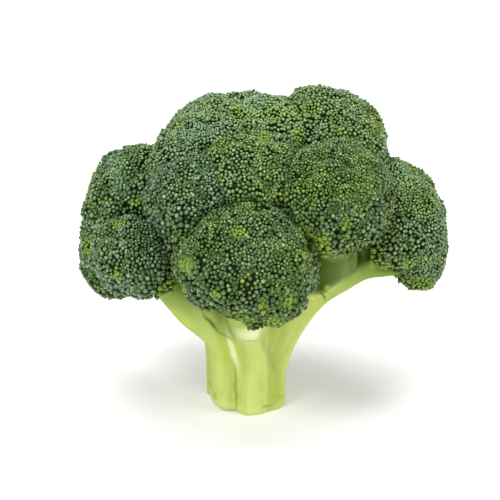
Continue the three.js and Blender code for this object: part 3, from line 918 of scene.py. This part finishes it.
def cut_flat(shell):
    """Cuts the shell off at z = 0 and gives it back with its cut rim as a loop of points."""
    mesh = mesh_of("uncut", shell)
    work = bmesh.new()
    work.from_mesh(mesh)
    bpy.data.meshes.remove(mesh)
    bmesh.ops.bisect_plane(
        work,
        geom=[*work.verts, *work.edges, *work.faces],
        dist=1e-7,
        plane_co=(0, 0, 0),
        plane_no=(0, 0, 1),
        clear_inner=True,
    )
    bmesh.ops.triangulate(work, faces=work.faces)
    work.verts.index_update()
    points = np.array([v.co for v in work.verts]) / MM
    triangles = np.array([[v.index for v in f.verts] for f in work.faces])
    rim = np.array([v.index for v in work.verts if v.is_boundary])
    work.free()
    turn = np.arctan2(points[rim, 1], points[rim, 0])
    points[rim, 2] = 0
    return Shell(points, triangles), rim[np.argsort(turn)]


TRIM_WIDTH = 0.9  # of the worn edge round the cut
TRIM_SIDE = (-0.85, -0.5)  # the side where the edge was pared away further
TRIM_SIDE_WIDTH = 4.6


def trimmed(points):
    """Pares the edge of the cut: below a height that is greatest on one side, a point moves
    towards the axis by the depth that it lies below that height."""
    flat = points[:, :2]
    far = np.linalg.norm(flat, axis=1)
    facing = (flat @ unit(TRIM_SIDE)) / np.maximum(far, 1e-6)
    ragged = 1 + 0.3 * wander(np.pad(unit(flat + 1e-9), ((0, 0), (0, 1))), 0.8, SEED + 900)
    height = ragged * (TRIM_WIDTH + TRIM_SIDE_WIDTH * smooth_step(0.55, 1, facing))
    depth = np.clip(height - points[:, 2], 0, None)
    moved = points.copy()
    moved[:, :2] *= np.clip(1 - depth**1.3 / np.maximum(far, 1), 0.7, 1)[:, None]
    return moved


def cut_face(rim_points, start):
    """The face of the cut: rings of the rim's outline, each nearer the middle, with a sunken ring
    of vessels under the rind and a soft swell of pith in the middle."""
    shares = np.array([0.985, 0.96, 0.93, 0.9, 0.87, 0.84, 0.8, 0.74, 0.66, 0.56, 0.44, 0.3, 0.15])
    sides = len(rim_points)
    rings = rim_points[None] * shares[:, None, None]
    sunk = 0.16 * np.exp(-(((shares - 0.885) / 0.035) ** 2)) + 0.2 * (1 - shares) ** 0.8
    grain = 0.03 * wander(rings.reshape(-1, 3), 2.2, SEED + 901).reshape(rings.shape[:2])
    rings[..., 2] = np.clip(sunk[:, None] + grain, 0, None)
    points = np.vstack([rings.reshape(-1, 3), [(0, 0, sunk[-1])]])
    middle = start + len(points) - 1
    inner = ring_triangles(len(shares), sides) + start
    last = np.arange(sides) + start + sides * (len(shares) - 1)
    across = np.append(np.repeat(shares, sides), 0)
    return points, np.vstack([inner, fan(last, middle)]), across


def stalk_fields(fibre, hollow, growth, cut):
    """What the stalk's materials read. A single number holds for every point."""
    each = {"hollow": hollow, "growth": growth, "cut": cut}
    return {"fibre": fibre} | {name: np.zeros(len(fibre)) + x for name, x in each.items()}


def stalk_shell():
    """The whole stalk: the joined tapers, smoothed and cut, with the face of the cut, and the thin
    stems under each floret."""
    lines = [branch_line(floret) for floret in florets]
    groups = [(lines, BRANCH_TAPER)]
    groups += [(stemlet_lines(floret), STEMLET_TAPER) for floret in florets]
    groups += [(SIDE_STEMS, SIDE_STEM_TAPER)]
    tapers = [taper(CORE, *CORE_TAPER, CORE_SEED)]
    for group, form in groups:
        tapers += [taper(line, *form, k) for k, line in enumerate(group)]
    shell = remeshed(joined(tapers), STALK_VOXEL)
    skin = Skin(shell)
    skin.relax(10)
    height = shell.points[:, 2]
    weight = 0.3 + 0.7 * smooth_step(24, 44, height) + 0.45 * smooth_step(12, 2, height)
    skin.fill_creases(26, weight)
    skin.relax(4)

    shell, rim = cut_flat(skin.shell)
    shell.points = trimmed(shell.points)
    skin = Skin(shell)
    normals = skin.normals()
    pull = (skin.mean(shell.points) - shell.points) * np.where(shell.points[:, 2:] < 0.01, 0, 1)
    hollow = skin.smoothed((pull * normals).sum(1), 8)
    place, share = fibre_place(shell.points, [smooth_line(line, 14) for line in lines])

    face_points, face_triangles, across = cut_face(shell.points[rim], len(shell.points))
    first = np.arange(len(rim)) + len(shell.points)
    step = np.vstack(
        [
            np.stack([rim, first, np.roll(first, -1)], 1),
            np.stack([rim, np.roll(first, -1), np.roll(rim, -1)], 1),
        ]
    )
    whole = Shell(
        np.vstack([shell.points, face_points]),
        np.vstack([shell.triangles, face_triangles[:, ::-1], step[:, ::-1]]),
    )
    whole.material[len(shell.triangles):] = 1
    skin_fields = stalk_fields(place, hollow, share, 0)
    face_fields = stalk_fields(face_points, 0, 0, across)
    for name, values in face_fields.items():
        whole.fields[name] = np.concatenate([skin_fields[name], values])

    stems = joined([stem for floret in florets for stem in pedicels_of(floret)])
    stems.fields = stalk_fields(stems.points, 0, 1, 0)
    return joined([whole, stems])


# ---- Materials ----


def paint(red, green, blue):
    """A colour from 0 to 255 a channel, as Blender's linear light, by the sRGB curve."""
    linear = (((c / 255 + 0.055) / 1.055) ** 2.4 if c > 10 else c / 3295 for c in (red, green, blue))
    return (*linear, 1.0)


RAGGED_EDGE = 1.4  # how far noise moves the edge of a mark, half of it to either side


class Board:
    """A material's nodes, added one at a time."""

    def __init__(self, name):
        self.material = bpy.data.materials.new(name)
        self.material.use_nodes = True
        self.tree = self.material.node_tree
        self.tree.nodes.clear()

    def add(self, kind, sources=None, **settings):
        """A node with its settings. A source is a value, or the socket that it comes from."""
        made = self.tree.nodes.new(kind)
        for key, value in settings.items():
            setattr(made, key, value)
        for key, source in (sources or {}).items():
            if isinstance(source, bpy.types.NodeSocket):
                self.tree.links.new(source, made.inputs[key])
            else:
                made.inputs[key].default_value = source
        return made

    def field(self, name, output="Fac"):
        """A field of the mesh."""
        return self.add("ShaderNodeAttribute", attribute_name=name).outputs[output]

    def place(self):
        """Where a point is on the object, in metres."""
        return self.add("ShaderNodeTexCoord").outputs["Object"]

    def scaled(self, vector, scale):
        """A vector times a scale for each axis."""
        made = self.add("ShaderNodeMapping", {"Vector": vector, "Scale": scale})
        return made.outputs["Vector"]

    def noise(self, vector, scale, detail=2.0, roughness=0.5):
        """Noise about 0.5."""
        sources = {"Vector": vector, "Scale": scale, "Detail": detail, "Roughness": roughness}
        return self.add("ShaderNodeTexNoise", sources).outputs["Fac"]

    def span(self, value, low, high, to_low=0.0, to_high=1.0):
        """Value from low..high to to_low..to_high, smoothly, and clamped."""
        sources = {"Value": value, "From Min": low, "From Max": high}
        made = self.add("ShaderNodeMapRange", sources, interpolation_type="SMOOTHSTEP")
        made.inputs["To Min"].default_value = to_low
        made.inputs["To Max"].default_value = to_high
        return made.outputs["Result"]

    def mark(self, place, middle, size, lean, soft):
        """1 inside an ellipsoid at `middle`, in millimetres, that leans `lean` degrees to the
        right, and 0 outside it, over the share `soft` of its size."""
        sources = {
            "Vector": place,
            "Location": [MM * (c + RAGGED_EDGE / 2) for c in middle],
            "Rotation": (0, math.radians(lean), 0),
            "Scale": [MM * c for c in size],
        }
        local = self.add("ShaderNodeMapping", sources, vector_type="TEXTURE").outputs["Vector"]
        far = self.add("ShaderNodeVectorMath", {0: local}, operation="LENGTH").outputs["Value"]
        return self.span(far, 1 + soft, 1 - soft)

    def maths(self, operation, a, b):
        """a and b joined by one operation."""
        return self.add("ShaderNodeMath", {0: a, 1: b}, operation=operation).outputs[0]

    def mix(self, share, a, b):
        """Colour a, and b as far as share says."""
        made = self.add("ShaderNodeMix", data_type="RGBA")
        for key, source in {0: share, 6: a, 7: b}.items():
            if isinstance(source, bpy.types.NodeSocket):
                self.tree.links.new(source, made.inputs[key])
            else:
                made.inputs[key].default_value = source
        return made.outputs[2]

    def bump(self, strength, distance, height):
        """Normals tilted by a height of 0 to 1, which is `distance` metres."""
        sources = {"Strength": strength, "Distance": distance, "Height": height}
        return self.add("ShaderNodeBump", sources).outputs["Normal"]

    def finish(self, sources):
        """The shader, with these sources, as the material's surface."""
        shader = self.add("ShaderNodeBsdfPrincipled", sources)
        out = self.add("ShaderNodeOutputMaterial")
        self.tree.links.new(shader.outputs["BSDF"], out.inputs["Surface"])
        return self.material


def bud_skin():
    """Buds: painted shade, near black-green, where they press together, mid green at the sides and a
    tip that is partly a waxy paler bloom and partly a painted highlight, bluer where the bloom is
    thick, with yellow-green between the young ones."""
    board = Board("bud_skin")
    height = board.field("bud_height")
    tone_and_light = board.field("bud_tone")
    bloom = board.field("bud_bloom")
    youth = board.span(board.field("bud_youth"), 0.05, 0.95)
    place = board.place()

    # Painted shade where the buds press together, near black-green, and yellower between young buds.
    gap = board.mix(youth, paint(16, 28, 3), paint(64, 84, 8))
    side = board.mix(bloom, paint(44, 72, 12), paint(38, 65, 32))
    side = board.mix(youth, side, paint(98, 126, 12))
    # The tips: partly a paler waxy bloom and partly a painted highlight, brighter on the lighter buds.
    dull_tip = board.mix(bloom, paint(58, 88, 20), paint(53, 84, 50))
    bloom_and_highlight_tip = board.mix(bloom, paint(146, 174, 82), paint(140, 172, 132))
    tip = board.mix(board.span(tone_and_light, 0.0, 1.2), dull_tip, bloom_and_highlight_tip)
    tip = board.mix(board.maths("MULTIPLY", youth, 0.6), tip, paint(136, 162, 54))
    fine = board.span(board.noise(place, 2600, 3), 0.3, 0.7, -0.1, 0.1)
    level = board.maths("ADD", height, fine)
    lower = board.mix(board.span(level, 0.05, 0.6), gap, side)
    colour = board.mix(board.span(level, 0.54, 0.98), lower, tip)
    return board.finish(
        {
            "Base Color": colour,
            "Roughness": board.span(level, 0.2, 0.6, 0.9, 0.26),
            "Specular IOR Level": 0.36,
            "Normal": board.bump(0.3, 0.0003, board.noise(place, 1900, 3)),
        }
    )


# Marks on the stalk's skin: the middle, the size, the lean in degrees, the colour, the strength and
# the softness of the edge. Some of them are painted shade or a painted shadow, as said above them.
MARKS = [
    # Painted shade in the hollow by the left branch:
    ((-7.6, -16, 42), (5.2, 9, 6.2), -32, (136, 152, 78), 0.75, 0.5),  # hollow by the left branch
    ((1.6, -19, 43), (6.0, 9, 6.2), 0, (236, 240, 196), 0.85, 0.4),  # pale top of the middle rib
    ((1.8, -19, 37.2), (3.6, 9, 0.6), 6, (166, 184, 84), 0.6, 0.6),  # an old leaf scar under it
    # Painted shade in the valley right of the middle rib:
    ((7.2, -16, 39), (1.7, 9, 7.0), -4, (158, 170, 96), 0.6, 0.6),  # the valley right of it
    ((-5.4, -16, 30.5), (1.3, 8, 7.4), -14, (232, 237, 186), 0.8, 0.8),  # pale strip left of it
    # Painted shade in the groove left of the middle rib:
    ((-4.2, -16, 12.5), (0.8, 8, 10.5), -2, (136, 160, 56), 0.9, 0.6),  # the groove left of the middle
    # Painted shade in the valley lower down, right of the middle rib:
    ((9.8, -14, 28), (1.4, 8, 9.0), -18, (150, 165, 80), 0.5, 0.7),
    ((-26, -14, 46.5), (3.0, 12, 7.5), -40, (196, 216, 88), 0.55, 0.7),  # below the left branch
    ((-15.0, -14, 44.4), (0.9, 9, 6.4), -36, (64, 92, 24), 0.95, 0.5),  # torn edge by the left branch
    ((-8.8, -14, 37.9), (0.6, 8, 4.4), -62, (120, 146, 50), 0.85, 0.6),
    ((-15.7, -9, 10.2), (0.7, 5, 1.2), 10, (62, 70, 26), 0.95, 0.4),  # dark nick
    ((-13.1, -12, 7.1), (1.1, 6, 1.9), -10, (150, 170, 60), 0.6, 0.5),
    ((12.5, -12, 21.3), (0.9, 6, 1.8), 0, (160, 162, 72), 0.55, 0.6),
    ((13.5, -12, 6.3), (3.4, 8, 1.3), 25, (166, 184, 58), 0.65, 0.6),
    ((9.5, -15, 3.2), (2.2, 6, 0.45), 10, (112, 124, 42), 0.6, 0.6),
    ((-36, -13, 51), (0.7, 8, 2.2), 60, (120, 142, 50), 0.6, 0.6),
    # The next two are partly the right branch's own deep green skin and partly the painted shadow that
    # the florets above cast on it.
    ((40, -12, 66.5), (7.2, 20, 20), 62, (72, 100, 10), 0.9, 0.3),  # deep green over the right branch
    ((32, -16, 70), (10, 22, 15), 0, (72, 100, 10), 0.9, 0.3),
    ((31, -10, 51.6), (3.6, 9, 1.2), 68, (168, 188, 84), 0.8, 0.5),  # a leaf's scar on its lower side
    ((33, -10, 53.6), (3.4, 9, 0.6), 68, (74, 100, 34), 0.8, 0.5),
    ((35, -16, 57), (2.6, 3, 1.8), 70, (168, 190, 84), 0.85, 0.5),  # the leaf's stub
]


def stalk_skin():
    """The stalk's skin: pale yellow-green in broad soft bands with faint fibres along every branch,
    with painted light on the crests, painted shade in the hollows, and darker and greener towards the
    florets."""
    board = Board("stalk_skin")
    fibre = board.field("fibre", "Vector")
    growth = board.field("growth")
    hollow = board.field("hollow")
    place = board.place()

    broad = board.noise(board.scaled(fibre, (0.1, 0.1, 0.012)), 1.0, 3)
    narrow = board.noise(board.scaled(fibre, (0.8, 0.8, 0.03)), 1.0, 3, 0.6)
    cloud = board.noise(place, 70, 4)
    skin = board.mix(board.span(broad, 0.36, 0.64), paint(170, 186, 82), paint(196, 208, 112))
    skin = board.mix(board.span(cloud, 0.5, 0.72, 0, 0.5), skin, paint(168, 190, 74))
    skin = board.mix(board.span(narrow, 0.5, 0.75, 0, 0.22), skin, paint(214, 223, 144))
    # Painted light: paler on the crests.
    skin = board.mix(board.span(hollow, -0.022, -0.1, 0, 0.45), skin, paint(210, 221, 138))
    skin = board.mix(board.span(growth, 0.42, 0.95), skin, paint(118, 150, 50))
    # Painted shade: darker green in the hollows.
    skin = board.mix(board.span(hollow, 0.018, 0.133, 0, 0.8), skin, paint(122, 148, 50))
    wobble = board.add("ShaderNodeTexNoise", {"Vector": place, "Scale": 260.0, "Detail": 2.0})
    ragged = board.add(
        "ShaderNodeVectorMath",
        {0: wobble.outputs["Color"], 1: (RAGGED_EDGE * MM,) * 3, 2: place},
        operation="MULTIPLY_ADD",
    )
    for middle, size, lean, colour, strength, soft in MARKS:
        mark = board.mark(ragged.outputs[0], middle, size, lean, soft)
        skin = board.mix(board.maths("MULTIPLY", mark, strength), skin, paint(*colour))
    grain = board.noise(board.scaled(fibre, (1.4, 1.4, 0.06)), 1.0, 4, 0.6)
    return board.finish(
        {
            "Base Color": skin,
            "Roughness": board.span(cloud, 0.3, 0.7, 0.5, 0.68),
            "Specular IOR Level": 0.3,
            "Subsurface Weight": 0.15,
            "Subsurface Radius": (1.0, 1.0, 0.35),
            "Subsurface Scale": 0.002,
            "Normal": board.bump(0.22, 0.0004, grain),
        }
    )


def cut_pith():
    """The cut: a green rind, a darker ring of vessels and moist pale pith."""
    board = Board("cut_pith")
    across = board.field("cut")
    place = board.place()
    fine = board.span(board.noise(place, 420, 3), 0.3, 0.7, -0.02, 0.02)
    ragged = board.maths("ADD", across, fine)
    pith = board.mix(board.noise(place, 300, 4), paint(206, 216, 150), paint(232, 236, 190))
    ring = board.mix(board.span(ragged, 0.76, 0.86), pith, paint(176, 194, 96))
    rind = board.mix(board.span(ragged, 0.9, 0.97), ring, paint(150, 172, 66))
    return board.finish(
        {
            "Base Color": rind,
            "Roughness": board.span(board.noise(place, 260), 0.3, 0.7, 0.3, 0.55),
            "Subsurface Weight": 0.15,
            "Subsurface Radius": (1.0, 1.0, 0.4),
            "Subsurface Scale": 0.002,
            "Normal": board.bump(0.4, 0.0004, board.noise(place, 700, 4)),
        }
    )


# ---- The head ----


PLACE_ALLOWED = 5.0  # millimetres


def check_place(piece, node):
    """Stops if a piece lies further than PLACE_ALLOWED from its solid's box on any side. Buds that
    lean over a crease and the thinnest stems pass the coarser solids by about 4 millimetres."""
    points = np.empty(len(piece.data.vertices) * 3)
    piece.data.vertices.foreach_get("co", points)
    points = points.reshape(-1, 3)
    low, high = (np.array(corner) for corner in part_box(node))
    off = max(np.abs(points.min(0) - low).max(), np.abs(points.max(0) - high).max()) / MM
    if off > PLACE_ALLOWED:
        raise ValueError(f"{piece.name} is {off:.1f} mm off {node}")


def make_head():
    """The stalk and every floret, each in its solid's place."""
    green = bud_skin()
    stalk = shown("stalk_skin", stalk_shell(), [stalk_skin(), cut_pith()])
    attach(stalk, "root")
    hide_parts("stalk")
    check_place(stalk, "stalk")
    for floret in florets:
        crown = shown("buds_" + floret.name, joined([buds_of(floret), core_of(floret)]), [green])
        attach(crown, "root")
        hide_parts("floret_" + floret.name)
        check_place(crown, "floret_" + floret.name)


# ---- Floor, light and camera ----

AIM = np.array([0.002, 0.0, 0.070])
VIEW_DISTANCE = 0.65
VIEW_HEIGHT_ANGLE = math.radians(18)
FRAME_WIDTH = 0.215  # what the view takes in at the aim, in metres
SENSOR = 36.0
FLOOR_HALF = 4.0
WORLD_STRENGTH = 0.42

# Lights: the name, the place and the size in metres, and the power in watts.
LIGHTS = [
    ("key", (-1.8, -2.7, 3.1), 1.2, 112),
    ("overhead", (-0.1, 0.3, 4.4), 3.6, 185),
    ("fill", (2.7, -1.2, 1.6), 2.4, 44),
]


def make_floor():
    """A plain white floor that runs out of the view, lit a little from below like a light table."""
    corners = [(x * FLOOR_HALF, y * FLOOR_HALF, 0) for x, y in ((-1, -1), (1, -1), (1, 1), (-1, 1))]
    mesh = bpy.data.meshes.new("floor")
    mesh.from_pydata(corners, [], [(0, 1, 2, 3)])
    floor = added("floor", mesh)
    board = Board("floor_white")
    mesh.materials.append(
        board.finish(
            {
                "Base Color": (0.76, 0.76, 0.76, 1),
                "Roughness": 0.9,
                "Specular IOR Level": 0.1,
                "Emission Color": (1, 1, 1, 1),
                "Emission Strength": 0.24,
            }
        )
    )


def make_light(name, place, size, power):
    """A square soft light that faces the head."""
    data = bpy.data.lights.new(name, "AREA")
    data.size = size
    data.energy = power
    light = added(name, data)
    light.location = place
    way = unit(AIM - np.array(place))
    light.rotation_euler = (math.acos(-way[2]), 0, math.atan2(way[1], way[0]) - math.pi / 2)


def make_world():
    """Even white light from all round."""
    world = bpy.data.worlds.new("studio")
    world.use_nodes = True
    sky = world.node_tree.nodes["Background"]
    sky.inputs["Color"].default_value = (1, 1, 1, 1)
    sky.inputs["Strength"].default_value = WORLD_STRENGTH
    bpy.context.scene.world = world


def make_camera():
    """A long lens in front of the head, 18 degrees above level."""
    data = bpy.data.cameras.new("camera")
    data.sensor_width = SENSOR
    data.lens = SENSOR * VIEW_DISTANCE / FRAME_WIDTH
    camera = added("camera", data)
    back = np.array([0, -math.cos(VIEW_HEIGHT_ANGLE), math.sin(VIEW_HEIGHT_ANGLE)])
    camera.location = AIM + VIEW_DISTANCE * back
    camera.rotation_euler = (math.pi / 2 - VIEW_HEIGHT_ANGLE, 0, 0)
    bpy.context.scene.camera = camera


make_camera()
make_world()
make_floor()
for light in LIGHTS:
    make_light(*light)
bpy.context.scene.view_settings.view_transform = "Standard"
make_head()
